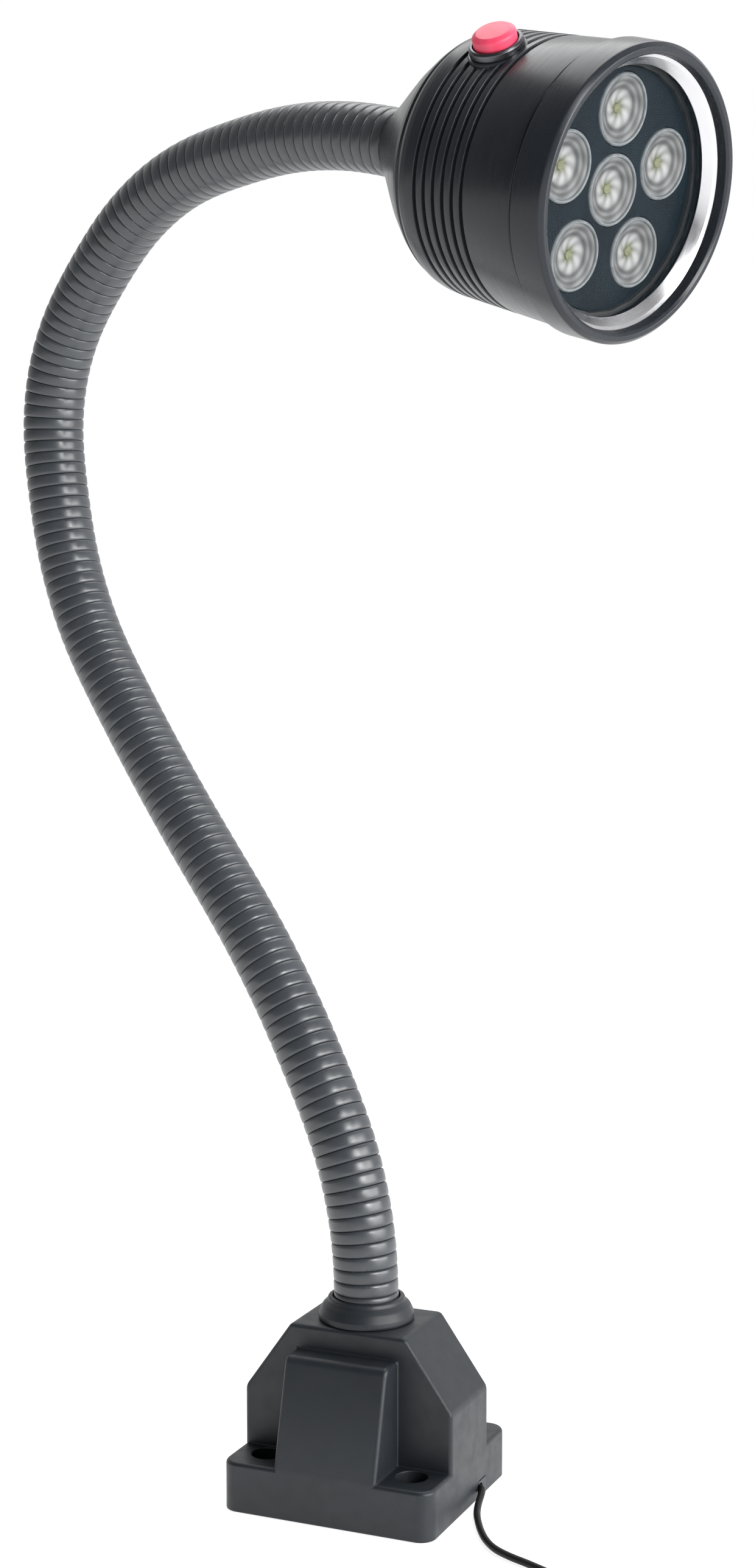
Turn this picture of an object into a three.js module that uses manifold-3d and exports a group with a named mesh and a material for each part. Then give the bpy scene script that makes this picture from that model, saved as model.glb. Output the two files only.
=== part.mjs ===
// Gooseneck examination lamp: a screw-down plastic base, a ribbed stay-put neck,
// and a turned aluminium LED head with a push button. Millimetres, +Z up.
// Origin: centre of the underside of the base. +X runs along the front of the base.

import * as THREE from 'three';
import { mergeVertices } from 'three/addons/utils/BufferGeometryUtils.js';
import Module from 'manifold-3d';

const wasm = await Module();
wasm.setup();

// ---------------------------------------------------------------- driving dimensions

const fitGap = 0.3;

// base
const baseWidth = 69;
const baseDepth = 64.3;
const baseHeight = 55.5;
const flangeHeight = 15.5;
const flangeCorner = 5;
const bodyDepth = 30.1;
const bodyTopWidth = 38.2;
const shoulderHeight = 33.8;
const wall = 3;
const tongueWidth = 33.6;
const tongueOutline = [[0, 10], [32.15, 10], [32.15, 16], [24.2, 46], [22.8, 47.6], [0, 48.2]];
const tongueHollow = [[0, -1], [29.15, -1], [29.15, 16], [21.2, 43], [20.4, 44.2], [0, 44.8]];
const neckHoleDepth = 6;
const mountingHole = { x: 24, y: 21, radius: 2.4, headRadius: 4.8, floor: 8, columnRadius: 7.6 };
const coverThickness = 2.2;
const coverScrew = { x: 12, y: 26.2, bossRadius: 3.2, bossTop: 22, pilotRadius: 1.4, pilotTop: 12 };
const notch = { y: 10.4, width: 7.2, height: 5.6, depth: 9 };

// neck
const neckStartHeight = 56;
const neckYaw = -20;
const segmentLength = 75.2;
const straightEnd = 8;
const neckTurns = [31.3, 11.4, -4.5, -28.6, -53.6, -38.3, -22];
const sleeve = { outer: 10.2, inner: 8, start: 1.2, endGap: 3, pastEnd: 3, steps: 6, sides: 12 };
const core = {
  outer: 7,
  bore: 4,
  leadBore: 1.7,
  intoBase: 16,
  intoHead: 8,
  endShort: 11,
  cavityStart: 9,
};
const ballJoint = {
  ball: 5.8,
  topDegrees: 72,
  neckRadius: 3.4,
  neckLength: 8,
  socket: 6.1,
  socketDepthDegrees: 48,
  socketLipDegrees: -14,
  socketLip: 1.6,
  socketOuter: 6.7,
  socketWallEnd: 7,
};
const ferrule = { inner: 7.3, outer: 8.6, low: 41, high: 56.6 };
const lockNut = { acrossFlats: 23, low: 46.5 };

// head, along its own axis from where the neck enters to the front rim
const headOverlap = 10;
const capStart = 9.4;
const capEnd = 41;
const bodyEnd = 86.5;
const rimEnd = 98.4;
const barrelRearRadius = 37;
const barrelFrontRadius = 39.1;
const bezelRadius = 40.3;
const fins = { first: 49.4, pitch: 3.66, count: 6, width: 1.5, depth: 1.2 };
const lensRadius = 9.8;
const lensPitchRadius = 21.4;
const lensTurn = 6.5;
const lensFront = 88.4;
const windowRadius = 34.8;
const button = { along: 57.5, turn: 36, padRadius: 8.4, padHeight: 37.8, capRadius: 6.15 };

// cord
const cordDiameter = 2.2;
const cordRadius = cordDiameter / 2;
const coil = { x: 97, y: -77, middleRadius: 14, width: 11.4, height: 6.7, floor: 0.95 };

// ---------------------------------------------------------------- finishes

const finish = {
  basePlastic: [0x33363b, 0.62, 0],
  steel: [0x9a9da2, 0.35, 1],
  sleevePlastic: [0x2f3236, 0.5, 0],
  anodised: [0x17191d, 0.28, 0.9],
  glass: [0xdfe8ee, 0.05, 0],
  lensPlastic: [0xf2f4f2, 0.08, 0],
  darkPlate: [0x10151c, 0.3, 0],
  board: [0xe8e8e4, 0.5, 0],
  ledPhosphor: [0xe6d36a, 0.5, 0],
  rubber: [0x161616, 0.8, 0],
  redPlastic: [0xe0405f, 0.35, 0],
  brass: [0xb89a4e, 0.35, 1],
  greenBoard: [0x1f5d3a, 0.5, 0],
  cordPlastic: [0x141414, 0.5, 0],
  whitePlastic: [0xd8d8d2, 0.5, 0],
};

const lamp = new THREE.Group();

function addPart(name, geometry, finishName, parent = lamp) {
  const [color, roughness, metalness] = finish[finishName];
  const material = new THREE.MeshStandardMaterial({ color, roughness, metalness });
  const mesh = new THREE.Mesh(geometry, material);
  mesh.name = name;
  parent.add(mesh);
  return mesh;
}

// ---------------------------------------------------------------- solids

// A closed, welded copy of a geometry with position only and its faces turned outward.
function weld(geometry) {
  const bare = new THREE.BufferGeometry();
  bare.setAttribute('position', geometry.getAttribute('position').clone());
  if (geometry.index) {
    bare.setIndex(geometry.index.clone());
  }
  const merged = mergeVertices(bare, 1e-4);
  const position = merged.getAttribute('position');
  const faces = [];
  let volume = 0;
  const a = new THREE.Vector3();
  const b = new THREE.Vector3();
  const c = new THREE.Vector3();
  for (let i = 0; i < merged.index.count; i += 3) {
    const corners = [0, 1, 2].map((k) => merged.index.getX(i + k));
    if (new Set(corners).size < 3) {
      continue;
    }
    faces.push(corners);
    a.fromBufferAttribute(position, corners[0]);
    b.fromBufferAttribute(position, corners[1]);
    c.fromBufferAttribute(position, corners[2]);
    volume += a.dot(b.cross(c));
  }
  if (volume < 0) {
    faces.forEach((corners) => corners.reverse());
  }
  merged.setIndex(faces.flat());
  return merged;
}

function toSolid(geometry) {
  const welded = weld(geometry);
  return new wasm.Manifold(new wasm.Mesh({
    numProp: 3,
    vertProperties: new Float32Array(welded.getAttribute('position').array),
    triVerts: new Uint32Array(welded.index.array),
  }));
}

function toGeometry(solid) {
  const mesh = solid.getMesh();
  const geometry = new THREE.BufferGeometry();
  geometry.setAttribute('position', new THREE.BufferAttribute(new Float32Array(mesh.vertProperties), 3));
  geometry.setIndex(new THREE.BufferAttribute(new Uint32Array(mesh.triVerts), 1));
  return geometry;
}

function combine(first, added = [], cut = []) {
  let solid = toSolid(first);
  for (const geometry of added) {
    solid = solid.add(toSolid(geometry));
  }
  for (const geometry of cut) {
    solid = solid.subtract(toSolid(geometry));
  }
  return toGeometry(solid);
}

// A turned part: [radius, height] pairs swept about +Z.
function turned(profile, segments = 24) {
  const points = profile.map(([radius, height]) => new THREE.Vector2(radius, height));
  const geometry = new THREE.LatheGeometry(points, segments);
  geometry.rotateX(Math.PI / 2);
  return weld(geometry);
}

function turnedRing(inner, outer, low, high, segments = 24) {
  return turned([[inner, low], [outer, low], [outer, high], [inner, high], [inner, low]], segments);
}

function turnedRod(radius, low, high, segments = 16) {
  return turned([[0, low], [radius, low], [radius, high], [0, high]], segments);
}

function box(width, depth, low, high, x = 0, y = 0) {
  const geometry = new THREE.BoxGeometry(width, depth, high - low);
  geometry.translate(x, y, (low + high) / 2);
  return geometry;
}

function polygon(points) {
  return new THREE.Shape(points.map(([x, y]) => new THREE.Vector2(x, y)));
}

function extrude(shape, depth, curveSegments = 6) {
  return new THREE.ExtrudeGeometry(shape, { depth, bevelEnabled: false, curveSegments });
}

function roundedRectangle(width, depth, radius) {
  const x = width / 2;
  const y = depth / 2;
  const shape = new THREE.Shape();
  shape.moveTo(-x + radius, -y);
  shape.lineTo(x - radius, -y);
  shape.absarc(x - radius, -y + radius, radius, -Math.PI / 2, 0);
  shape.lineTo(x, y - radius);
  shape.absarc(x - radius, y - radius, radius, 0, Math.PI / 2);
  shape.lineTo(-x + radius, y);
  shape.absarc(-x + radius, y - radius, radius, Math.PI / 2, Math.PI);
  shape.lineTo(-x, -y + radius);
  shape.absarc(-x + radius, -y + radius, radius, Math.PI, Math.PI * 1.5);
  return shape;
}

// A polygon of [x, z] points extruded along Y about y = 0.
function extrudeAcross(points, depth) {
  const geometry = extrude(polygon(points), depth);
  geometry.rotateX(Math.PI / 2);
  geometry.translate(0, depth / 2, 0);
  return geometry;
}

// A polygon of [y, z] points extruded along X about x = 0.
function extrudeAlong(points, width) {
  const geometry = extrude(polygon(points), width);
  geometry.rotateX(Math.PI / 2);
  geometry.rotateZ(Math.PI / 2);
  geometry.translate(-width / 2, 0, 0);
  return geometry;
}

function hexNut(acrossFlats, bore, low, high) {
  const nut = turnedRod(acrossFlats / Math.sqrt(3), low, high, 6);
  return combine(nut, [], [turnedRod(bore, low - 1, high + 1)]);
}

function cordTube(points, steps, radius = cordRadius, sides = 8) {
  const section = new THREE.Shape();
  for (let i = 0; i < sides; i += 1) {
    const angle = (i / sides) * Math.PI * 2;
    const x = radius * Math.cos(angle);
    const y = radius * Math.sin(angle);
    if (i === 0) {
      section.moveTo(x, y);
    } else {
      section.lineTo(x, y);
    }
  }
  const path = new THREE.CatmullRomCurve3(points.map((p) => new THREE.Vector3(...p)), false, 'centripetal');
  return weld(new THREE.ExtrudeGeometry(section, { steps, bevelEnabled: false, extrudePath: path }));
}

const fourWays = [[1, 1], [-1, 1], [-1, -1], [1, -1]];

// ---------------------------------------------------------------- neck centreline

const radians = THREE.MathUtils.degToRad;
const neckPlane = new THREE.Vector3(Math.cos(radians(neckYaw)), Math.sin(radians(neckYaw)), 0);
const up = new THREE.Vector3(0, 0, 1);
const neckSide = new THREE.Vector3().crossVectors(up, neckPlane);

function heading(angle) {
  return neckPlane.clone().multiplyScalar(Math.cos(angle)).addScaledVector(up, Math.sin(angle));
}

// Each segment is a short straight, an arc and a short straight, so a joint sits on a straight.
function segmentPose(start, turn, along) {
  const arcLength = segmentLength - 2 * straightEnd;
  const arcRadius = arcLength / turn;
  const arcAlong = THREE.MathUtils.clamp(along - straightEnd, 0, arcLength);
  const angle = start.angle + turn * (arcAlong / arcLength);
  const first = Math.min(along, straightEnd);
  const last = Math.max(along - straightEnd - arcLength, 0);
  const sideStep = arcRadius * (Math.sin(angle) - Math.sin(start.angle));
  const upStep = -arcRadius * (Math.cos(angle) - Math.cos(start.angle));
  const position = start.position.clone();
  position.addScaledVector(heading(start.angle), first);
  position.addScaledVector(neckPlane, sideStep);
  position.addScaledVector(up, upStep);
  position.addScaledVector(heading(angle), last);
  return { position, angle };
}

const segments = [];
let station = { position: new THREE.Vector3(0, 0, neckStartHeight), angle: Math.PI / 2 };
for (const turnDegrees of neckTurns) {
  const turn = radians(turnDegrees);
  segments.push({ start: station, turn });
  station = segmentPose(station, turn, segmentLength);
}
const neckEnd = station;

// Bends a part turned about +Z along a segment, its height becoming distance along the neck.
function bend(geometry, segment) {
  const position = geometry.getAttribute('position');
  const point = new THREE.Vector3();
  for (let i = 0; i < position.count; i += 1) {
    point.fromBufferAttribute(position, i);
    const pose = segmentPose(segment.start, segment.turn, point.z);
    const normal = heading(pose.angle - Math.PI / 2);
    const moved = pose.position.addScaledVector(normal, point.x).addScaledVector(neckSide, point.y);
    position.setXYZ(i, moved.x, moved.y, moved.z);
  }
  return weld(geometry);
}

function steps(low, high, count) {
  return Array.from({ length: count + 1 }, (_, i) => low + ((high - low) * i) / count);
}

function arcPoints(radius, centre, from, to, count) {
  return steps(radians(from), radians(to), count).map((angle) => [
    radius * Math.cos(angle),
    centre + radius * Math.sin(angle),
  ]);
}

// ---------------------------------------------------------------- neck parts

// One link of the neck's steel core: a tube with a socket at its start and a ball at its end.
function coreLink(index) {
  const isFirst = index === 0;
  const isLast = index === segments.length - 1;
  const bodyLow = isFirst ? -core.intoBase : -ballJoint.socketLip;
  const bodyHigh = isLast ? segmentLength + core.intoHead : segmentLength - core.endShort;
  const startOuter = isFirst ? core.outer : ballJoint.socketOuter;
  const outsideLow = Math.max(bodyLow, ballJoint.socketWallEnd);
  const outside = steps(outsideLow, bodyHigh, 5).map((height) => [core.outer, height]);
  const inside = steps(core.cavityStart, bodyHigh, 4).reverse().map((height) => [core.bore, height]);
  const { socket, socketDepthDegrees, socketLipDegrees } = ballJoint;
  const socketWall = arcPoints(socket, 0, socketDepthDegrees, socketLipDegrees, 4);
  const startInside = isFirst ? [[core.bore, bodyLow]] : socketWall;
  let endOutside = [];
  if (!isLast) {
    const { ball, neckRadius, neckLength, topDegrees } = ballJoint;
    const seatDegrees = THREE.MathUtils.radToDeg(Math.acos(neckRadius / ball));
    endOutside = [
      [neckRadius, segmentLength - neckLength],
      ...arcPoints(ball, segmentLength, -seatDegrees, topDegrees, 5),
      [core.leadBore, segmentLength + ball * Math.sin(radians(topDegrees))],
      [core.leadBore, segmentLength - neckLength - 1],
    ];
  }
  const profile = [[startOuter, bodyLow], ...outside, ...endOutside, ...inside, ...startInside];
  profile.push(profile[0]);
  return bend(turned(profile, 10), segments[index]);
}

function sleevePiece(index) {
  const isFirst = index === 0;
  const isLast = index === segments.length - 1;
  const low = isFirst ? sleeve.start : sleeve.endGap;
  const high = isLast ? segmentLength + sleeve.pastEnd : segmentLength - sleeve.endGap;
  const heights = steps(low, high, sleeve.steps);
  const outside = heights.map((height) => [sleeve.outer, height]);
  const inside = heights.slice().reverse().map((height) => [sleeve.inner, height]);
  const profile = [...outside, ...inside, outside[0]];
  return bend(turned(profile, sleeve.sides), segments[index]);
}

segments.forEach((_, index) => {
  addPart(`neck_core_${index + 1}`, coreLink(index), 'steel');
  addPart(`neck_sleeve_${index + 1}`, sleevePiece(index), 'sleevePlastic');
});

// ---------------------------------------------------------------- base

function baseHousing() {
  const half = baseWidth / 2;
  const top = bodyTopWidth / 2;
  const bodyProfile = [[-half, 0], [half, 0], [half, shoulderHeight], [top, baseHeight],
    [-top, baseHeight], [-half, shoulderHeight]];
  const innerTop = top - wall / 2;
  const bodyHollow = [[-half + wall, -1], [half - wall, -1], [half - wall, shoulderHeight - wall / 2],
    [innerTop, baseHeight - wall], [-innerTop, baseHeight - wall], [-half + wall, shoulderHeight - wall / 2]];
  const shell = [extrude(roundedRectangle(baseWidth, baseDepth, flangeCorner), flangeHeight)];
  const hollow = [
    extrudeAcross(bodyHollow, bodyDepth - 2 * wall),
    box(baseWidth - 2 * wall, baseDepth - 2 * wall, -1, flangeHeight - wall),
    turnedRod(ferrule.outer + fitGap, baseHeight - neckHoleDepth, baseHeight + 1, 24),
  ];
  shell.push(extrudeAcross(bodyProfile, bodyDepth));
  for (const way of [1, -1]) {
    const outline = tongueOutline.map(([y, z]) => [y * way, z]);
    const inner = tongueHollow.map(([y, z]) => [y * way, z]);
    shell.push(extrudeAlong(outline, tongueWidth));
    hollow.push(extrudeAlong(inner, tongueWidth - 2 * wall));
  }
  const columns = [];
  const bores = [];
  for (const [wayX, wayY] of fourWays) {
    const x = mountingHole.x * wayX;
    const y = mountingHole.y * wayY;
    columns.push(turnedRod(mountingHole.columnRadius, 0, flangeHeight - 1).translate(x, y, 0));
    bores.push(turnedRod(mountingHole.headRadius, mountingHole.floor, flangeHeight + 1).translate(x, y, 0));
    bores.push(turnedRod(mountingHole.radius, -1, flangeHeight).translate(x, y, 0));
    const bossX = coverScrew.x * wayX;
    const bossY = coverScrew.y * wayY;
    const bossLow = coverThickness + fitGap;
    const boss = turnedRod(coverScrew.bossRadius, bossLow, coverScrew.bossTop, 12);
    columns.push(boss.translate(bossX, bossY, 0));
    const pilot = turnedRod(coverScrew.pilotRadius, bossLow - 1, coverScrew.pilotTop, 8);
    bores.push(pilot.translate(bossX, bossY, 0));
  }
  const trimmedColumns = columns.map((column) => toSolid(column).intersect(
    toSolid(extrudeAcross(bodyProfile, baseDepth - 0.4)),
  ));
  bores.push(box(notch.depth, notch.width, -1, notch.height, half - 1, notch.y));
  let solid = toSolid(shell[0]);
  for (const piece of shell.slice(1)) {
    solid = solid.add(toSolid(piece));
  }
  for (const piece of hollow) {
    solid = solid.subtract(toSolid(piece));
  }
  for (const column of trimmedColumns) {
    solid = solid.add(column);
  }
  for (const bore of bores) {
    solid = solid.subtract(toSolid(bore));
  }
  return toGeometry(solid);
}

function baseCover() {
  const plate = box(baseWidth - 2 * wall - 2 * fitGap, baseDepth - 2 * wall - 2 * fitGap, 0, coverThickness);
  const leadWay = notch.width + 6;
  const cuts = [box(12, leadWay, -1, 4, baseWidth / 2 - 4, notch.y + 2.6)];
  for (const [wayX, wayY] of fourWays) {
    const corner = box(20, 20, -1, 4, (mountingHole.x + 10) * wayX, (mountingHole.y + 10) * wayY);
    cuts.push(turnedRod(mountingHole.columnRadius + fitGap, -1, 4).translate(
      mountingHole.x * wayX,
      mountingHole.y * wayY,
      0,
    ));
    cuts.push(corner);
    const sink = turned([[0, -1], [2.9, -1], [2.9, 0], [1.5, 1.4], [1.5, 4], [0, 4]], 10);
    cuts.push(sink.translate(coverScrew.x * wayX, coverScrew.y * wayY, 0));
  }
  return combine(plate, [], cuts);
}

function coverScrewBody() {
  const profile = [[0, 0.2], [0.9, 0.2], [0.9, 0], [2.5, 0], [1.1, 1.4], [1.1, 10.5], [0, 10.8]];
  return turned(profile, 12);
}

function neckCollar() {
  const foot = baseHeight + fitGap;
  const inner = sleeve.outer + fitGap;
  return turned([[inner, foot], [14.8, foot], [14.8, foot + 1.4], [14.2, foot + 3], [12.8, foot + 5],
    [11.8, foot + 6.6], [inner, foot + 7], [inner, foot]], 28);
}

addPart('base_housing', baseHousing(), 'basePlastic');
addPart('base_cover', baseCover(), 'basePlastic');
fourWays.forEach(([wayX, wayY], index) => {
  const screw = coverScrewBody().translate(coverScrew.x * wayX, coverScrew.y * wayY, 0);
  addPart(`base_cover_screw_${index + 1}`, screw, 'steel');
});
addPart('neck_collar', neckCollar(), 'basePlastic');
const lowerFerrule = turnedRing(ferrule.inner, ferrule.outer, ferrule.low, ferrule.high, 24);
addPart('neck_lower_ferrule', lowerFerrule, 'brass');
const nutTop = baseHeight - wall - fitGap;
const baseNut = hexNut(lockNut.acrossFlats, ferrule.outer + fitGap, lockNut.low, nutTop);
baseNut.rotateZ(Math.PI / 6);
addPart('neck_lock_nut', baseNut, 'brass');

// ---------------------------------------------------------------- cord

const cordExit = [34.5, 8.6, 3.2];
const cordExitTurn = -48;
const cordRoute = [
  [34.8, 8.27, 3.2],
  [35.4, 7.6, 3.15],
  [36, 6.6, 3],
  [36.4, 5, 2.75],
  [36.75, 3.2, 2.35],
  [37.15, 1, 1.85],
  [37.8, -1.6, 1.5],
  [38.8, -4.8, 1.3],
  [40.3, -8.7, 1.3],
  [42.4, -13.1, 1.3],
  [45.4, -18.7, 1.3],
  [49.3, -24.6, 1.3],
  [54, -29.5, 1.3],
  [60, -33, 1.3],
  [67.6, -36.2, 1.3],
  [75.8, -40.3, 1.3],
  [83.8, -45.9, 1.3],
  [90.4, -51.5, 1.5],
  [96.6, -55.8, 2.2],
];
const tailRoute = [
  [118.2, -77.4, 2.6],
  [118.3, -82, 1.9],
  [117, -88.8, 1.5],
  [113.4, -95.6, 1.9],
  [107.6, -100.4, 2.8],
  [101.2, -102.6, 3.8],
  [95.3, -103, 4.45],
];
const innerRoute = [
  [28.4, 12.2, 3.6],
  [26.4, 12.5, 3.8],
  [23.4, 11.3, 4],
  [19, 8.4, 4],
  [14, 5.8, 4.2],
  [8, 3.2, 4.8],
  [1.2, 1.6, 6],
];
const plug = { start: 95, y: -103, height: 4.45 };

function cordGrommet() {
  const reach = baseWidth / 2;
  const insert = box(5, notch.width - 2 * fitGap, 0.5, notch.height - fitGap, reach - 2.4, notch.y);
  const flange = box(1.6, notch.width + 1.6, 2.6, notch.height + 1, reach - wall - 1.1, notch.y);
  const bore = turnedRod(cordRadius + fitGap, -20, 20, 16);
  bore.rotateY(Math.PI / 2);
  bore.rotateZ(radians(cordExitTurn));
  bore.translate(...cordExit);
  return combine(insert, [flange], [bore]);
}

function coilTie() {
  const low = coil.floor - fitGap;
  const high = coil.floor + coil.height + fitGap;
  const inner = coil.middleRadius - coil.width / 2 - 0.9;
  const outer = coil.middleRadius + coil.width / 2 + fitGap;
  const strap = 0.6;
  const band = box(outer - inner + 2 * strap, 5, low - strap, high + strap, (inner + outer) / 2);
  const opening = box(outer - inner, 7, low, high, (inner + outer) / 2);
  const tie = combine(band, [], [opening]);
  tie.rotateZ(radians(-60));
  return tie.translate(coil.x, coil.y, 0);
}

function layAtPlug(geometry) {
  geometry.rotateY(-Math.PI / 2);
  return geometry.translate(plug.start, plug.y, plug.height);
}

function plugBody() {
  return layAtPlug(turned([[0, 0], [1.9, 0], [2.3, 4], [3, 11.6], [4, 12.2], [4.4, 13], [4.4, 28],
    [4, 28.8], [0, 28.8]], 14));
}

function plugBarrel() {
  const low = 28.8 + fitGap;
  return layAtPlug(turned([[0, low], [2.75, low], [2.75, low + 9.5], [1.25, low + 9.5], [1.25, low + 2],
    [0, low + 2]], 12));
}

addPart('cord_grommet', cordGrommet(), 'rubber');
addPart('cord_inner_lead', cordTube(innerRoute, 12), 'cordPlastic');
addPart('cord_clamp', combine(
  box(5, 11, coverThickness + fitGap, 8.8, 14, 5.8),
  [],
  [box(7, 6.2, 0, 6, 14, 5.8)],
), 'whitePlastic');
addPart('terminal_block', combine(
  box(13, 9, coverThickness + fitGap, 12.5, -6, 1.6),
  [],
  [box(3.6, 3.6, 8, 14, -3.2, 1.6), box(3.6, 3.6, 8, 14, -8.8, 1.6)],
), 'whitePlastic');
addPart('supply_cord', cordTube(cordRoute, 34), 'cordPlastic');
addPart('supply_cord_tail', cordTube(tailRoute, 12), 'cordPlastic');
addPart('supply_cord_coil', turnedRing(
  coil.middleRadius - coil.width / 2,
  coil.middleRadius + coil.width / 2,
  coil.floor,
  coil.floor + coil.height,
).translate(coil.x, coil.y, 0), 'cordPlastic');
addPart('cord_tie', coilTie(), 'rubber');
addPart('plug_body', plugBody(), 'rubber');
addPart('plug_barrel', plugBarrel(), 'steel');

// ---------------------------------------------------------------- head

const head = new THREE.Group();
const headAxis = heading(neckEnd.angle);
const headUp = heading(neckEnd.angle + Math.PI / 2);
const headSide = new THREE.Vector3().crossVectors(headAxis, headUp);
head.matrixAutoUpdate = false;
head.matrix.makeBasis(headUp, headSide, headAxis);
head.matrix.setPosition(neckEnd.position.clone().addScaledVector(headAxis, -headOverlap));
lamp.add(head);

function barrelRadius(along) {
  const share = (along - capEnd) / (bodyEnd - capEnd);
  return THREE.MathUtils.lerp(barrelRearRadius, barrelFrontRadius, share);
}

// Turns a part made about +Z so that it stands on the side of the head where the button is.
function atButton(geometry) {
  geometry.rotateY(Math.PI / 2);
  geometry.rotateZ(radians(button.turn));
  return geometry.translate(0, 0, button.along);
}

function headRearCap() {
  const bore = sleeve.outer + fitGap;
  const ferruleBore = ferrule.outer + fitGap;
  return turned([[bore, capStart], [10.9, capStart], [14.6, 14], [19.6, 20], [24.7, 26], [29.7, 32],
    [34.1, 38], [35.6, capEnd - 0.4], [35.2, capEnd], [31.4, capEnd], [15.6, 20.4], [15.2, 18],
    [ferruleBore, 18], [ferruleBore, 14], [bore, 14], [bore, capStart]], 28);
}

function headBody() {
  const rear = capEnd + fitGap;
  const outline = [[35.2, rear], [36, rear + 0.4], [barrelRearRadius, rear + 2.6]];
  for (let i = 0; i < fins.count; i += 1) {
    const middle = fins.first + i * fins.pitch;
    const radius = barrelRadius(middle);
    outline.push([radius, middle - fins.width / 2]);
    outline.push([radius - fins.depth, middle - fins.width / 2 + 0.3]);
    outline.push([radius - fins.depth, middle + fins.width / 2 - 0.3]);
    outline.push([radius, middle + fins.width / 2]);
  }
  outline.push([barrelFrontRadius, bodyEnd - 0.7], [barrelFrontRadius - 0.8, bodyEnd]);
  outline.push([33, bodyEnd], [33, 75], [3, 75], [3, 68], [32.4, 68], [32.4, rear], [35.2, rear]);
  const pad = atButton(turnedRod(button.padRadius, 33.6, button.padHeight, 20));
  const hole = atButton(turnedRod(5.9, 20, 45));
  return combine(turned(outline, 28), [pad], [hole]);
}

function bezelRing() {
  const low = bodyEnd + fitGap;
  return turned([[35.1, low], [39.5, low], [bezelRadius, low + 0.7], [bezelRadius, rimEnd - 1.2],
    [39.9, rimEnd - 0.4], [39.1, rimEnd], [37.8, rimEnd], [37, rimEnd - 0.6], [36.8, 95],
    [33.5, 91.7], [35.1, 91.7], [35.1, low]], 32);
}

function lensPlaces() {
  const places = [[0, 0]];
  for (let i = 0; i < 5; i += 1) {
    const angle = radians(lensTurn + i * 72);
    places.push([lensPitchRadius * Math.cos(angle), lensPitchRadius * Math.sin(angle)]);
  }
  return places;
}

function lensHolder() {
  const plateLow = lensFront - 2.3;
  const cup = turned([[0, plateLow], [31.2, plateLow], [31.2, 77.3], [32.6, 77.3], [32.6, lensFront - 0.3],
    [0, lensFront - 0.3]], 28);
  const holes = lensPlaces().map(([x, y]) => turnedRod(lensRadius + fitGap, 80, 90).translate(x, y, 0));
  return combine(cup, [], holes);
}

function lens(x, y) {
  const profile = [[0, 81.2], [2.6, 81.2], [2.8, 79.9], [4.4, 79.9], [9.4, 87.1], [lensRadius, 87.3],
    [lensRadius, lensFront], [0, lensFront]];
  return turned(profile, 16).translate(x, y, 0);
}

function ledChip(x, y) {
  return turned([[0, 77.2], [3, 77.2], [3, 78.2], [2, 78.2], [1.8, 79], [0, 79.6]], 8).translate(x, y, 0);
}

function driverBoard() {
  const disc = turnedRod(25, 33.6, 35.2, 20);
  const capacitor = turnedRod(4, 35, 45, 10).translate(-10, 6, 0);
  const inductor = box(9, 9, 35, 40.5, 9, -7);
  const chip = box(6, 5, 35, 36.8, 5, 9);
  return combine(disc, [capacitor, inductor, chip]);
}

function switchBody() {
  const barrel = turnedRod(5.6, 22, 37.1);
  const terminals = [-2.5, 2.5].map((x) => box(0.9, 2.6, 16.5, 22.5, x, 0));
  return atButton(combine(barrel, terminals, [turnedRod(2.7, 31, 39, 12)]));
}

function buttonCap() {
  const radius = button.capRadius;
  return atButton(turned([[0, 34], [2.4, 34], [2.4, 39.3], [radius, 39.3], [radius, 42.7],
    [radius - 0.3, 43.2], [radius - 0.9, 43.4], [0, 43.5]], 20));
}

addPart('neck_upper_ferrule', turnedRing(ferrule.inner, ferrule.outer, 13.5, 27, 24), 'brass', head);
addPart('head_lock_nut', hexNut(lockNut.acrossFlats, ferrule.outer + fitGap, 18.3, 23.3), 'brass', head);
addPart('head_rear_cap', headRearCap(), 'anodised', head);
addPart('head_body', headBody(), 'anodised', head);
addPart('bezel_ring', bezelRing(), 'anodised', head);
addPart('window_gasket', turnedRing(33.3, 34.8, bodyEnd + fitGap, 88.6), 'rubber', head);
addPart('front_window', turnedRod(windowRadius, 88.9, 91.4, 28), 'glass', head);
addPart('lens_holder', lensHolder(), 'darkPlate', head);
addPart('led_board', turnedRod(30.8, 75.3, 76.9, 24), 'board', head);
lensPlaces().forEach(([x, y], index) => {
  addPart(`lens_${index + 1}`, lens(x, y), 'lensPlastic', head);
  addPart(`led_${index + 1}`, ledChip(x, y), 'ledPhosphor', head);
});
addPart('driver_board', driverBoard(), 'greenBoard', head);
addPart('switch_body', switchBody(), 'rubber', head);
addPart('switch_nut', atButton(hexNut(14, 5.9, 28, 30.9)), 'steel', head);
const switchCollar = turnedRing(6.5, 7.7, button.padHeight + fitGap, 40.2, 20);
addPart('switch_collar', atButton(switchCollar), 'anodised', head);
addPart('button_cap', buttonCap(), 'redPlastic', head);

export default lamp;
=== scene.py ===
"""Looks of the gooseneck examination lamp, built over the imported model.

Lengths are millimetres until placed."""

import math

import bmesh
import bpy
from mathutils import Matrix, Vector


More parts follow.
